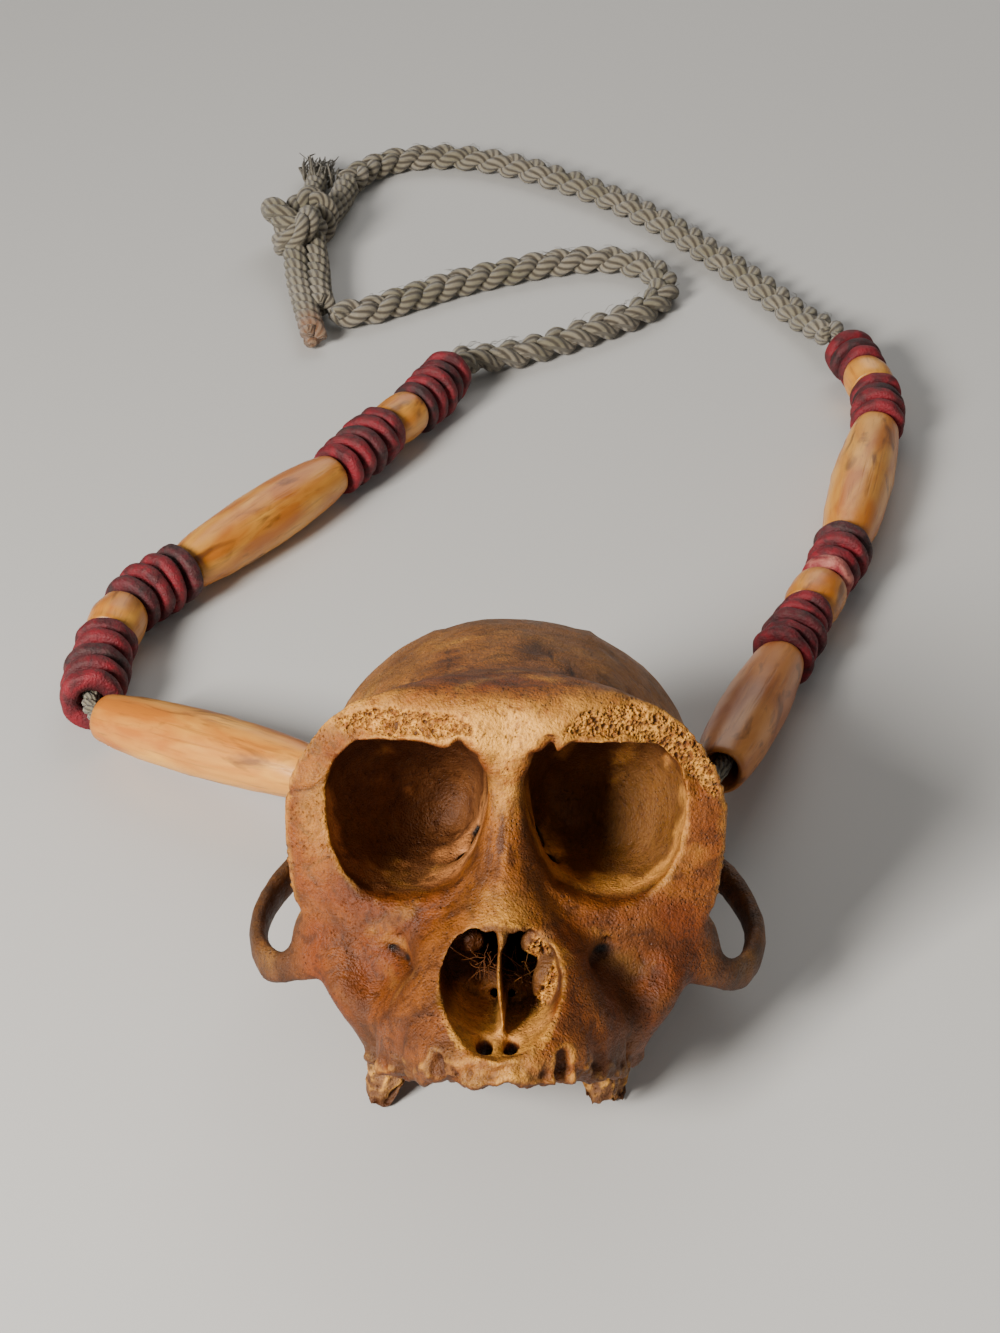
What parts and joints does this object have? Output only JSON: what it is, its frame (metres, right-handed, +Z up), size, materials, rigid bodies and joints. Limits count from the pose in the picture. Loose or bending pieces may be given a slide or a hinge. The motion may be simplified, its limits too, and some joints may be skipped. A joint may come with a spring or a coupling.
{
  "type": "monkey skull on a beaded necklace",
  "caption": "Weathered monkey skull without its lower jaw, strung on a necklace of bone beads and dyed discs that lies behind it and ends in a frayed knot.",
  "frame": {"origin": "on the table, under the middle of the seated skull", "axes": "+Z up, -Y the way the skull faces, +X to the right as the skull is looked at from the front"},
  "size_m": [0.1645, 0.389, 0.0651],
  "materials": {
    "aged_bone": "aged bone, ochre and orange-brown, matt with a faint polish",
    "tooth": "broken tooth root, stained ivory",
    "bead_bone": "polished bone, cream to orange with brown stains",
    "crimson_disc": "dull dyed crimson",
    "dark_disc": "dull dark grey-brown",
    "grey_cord": "greyish beige twisted fibre"
  },
  "bodies": {
    "root": {"skull": "aged_bone", "molar_left_front": "tooth", "molar_left_back": "tooth", "molar_right_front": "tooth", "molar_right_back": "tooth", "long_bead_left_1": "bead_bone", "long_bead_left_2": "bead_bone", "short_bead_left_1": "bead_bone", "short_bead_left_2": "bead_bone", "disc_left_1": "crimson_disc", "disc_left_2": "crimson_disc", "disc_left_3": "dark_disc", "disc_left_4": "crimson_disc", "disc_left_5": "crimson_disc", "disc_left_6": "dark_disc", "disc_left_7": "crimson_disc", "disc_left_8": "crimson_disc", "disc_left_9": "dark_disc", "disc_left_10": "crimson_disc", "disc_left_11": "crimson_disc", "disc_left_12": "dark_disc", "disc_left_13": "crimson_disc", "disc_left_14": "crimson_disc", "disc_left_15": "dark_disc", "disc_left_16": "crimson_disc", "disc_left_17": "crimson_disc", "disc_left_18": "dark_disc", "disc_left_19": "crimson_disc", "long_bead_right_1": "bead_bone", "long_bead_right_2": "bead_bone", "short_bead_right_1": "bead_bone", "short_bead_right_2": "bead_bone", "disc_right_1": "crimson_disc", "disc_right_2": "crimson_disc", "disc_right_3": "dark_disc", "disc_right_4": "crimson_disc", "disc_right_5": "crimson_disc", "disc_right_6": "dark_disc", "disc_right_7": "crimson_disc", "disc_right_8": "crimson_disc", "disc_right_9": "dark_disc", "disc_right_10": "crimson_disc", "disc_right_11": "crimson_disc", "disc_right_12": "dark_disc", "disc_right_13": "crimson_disc", "disc_right_14": "crimson_disc", "disc_right_15": "dark_disc", "disc_right_16": "crimson_disc", "string_left": "grey_cord", "string_right": "grey_cord", "rope_left": "grey_cord", "rope_right": "grey_cord", "knot": "grey_cord"}
  },
  "joints": []
}
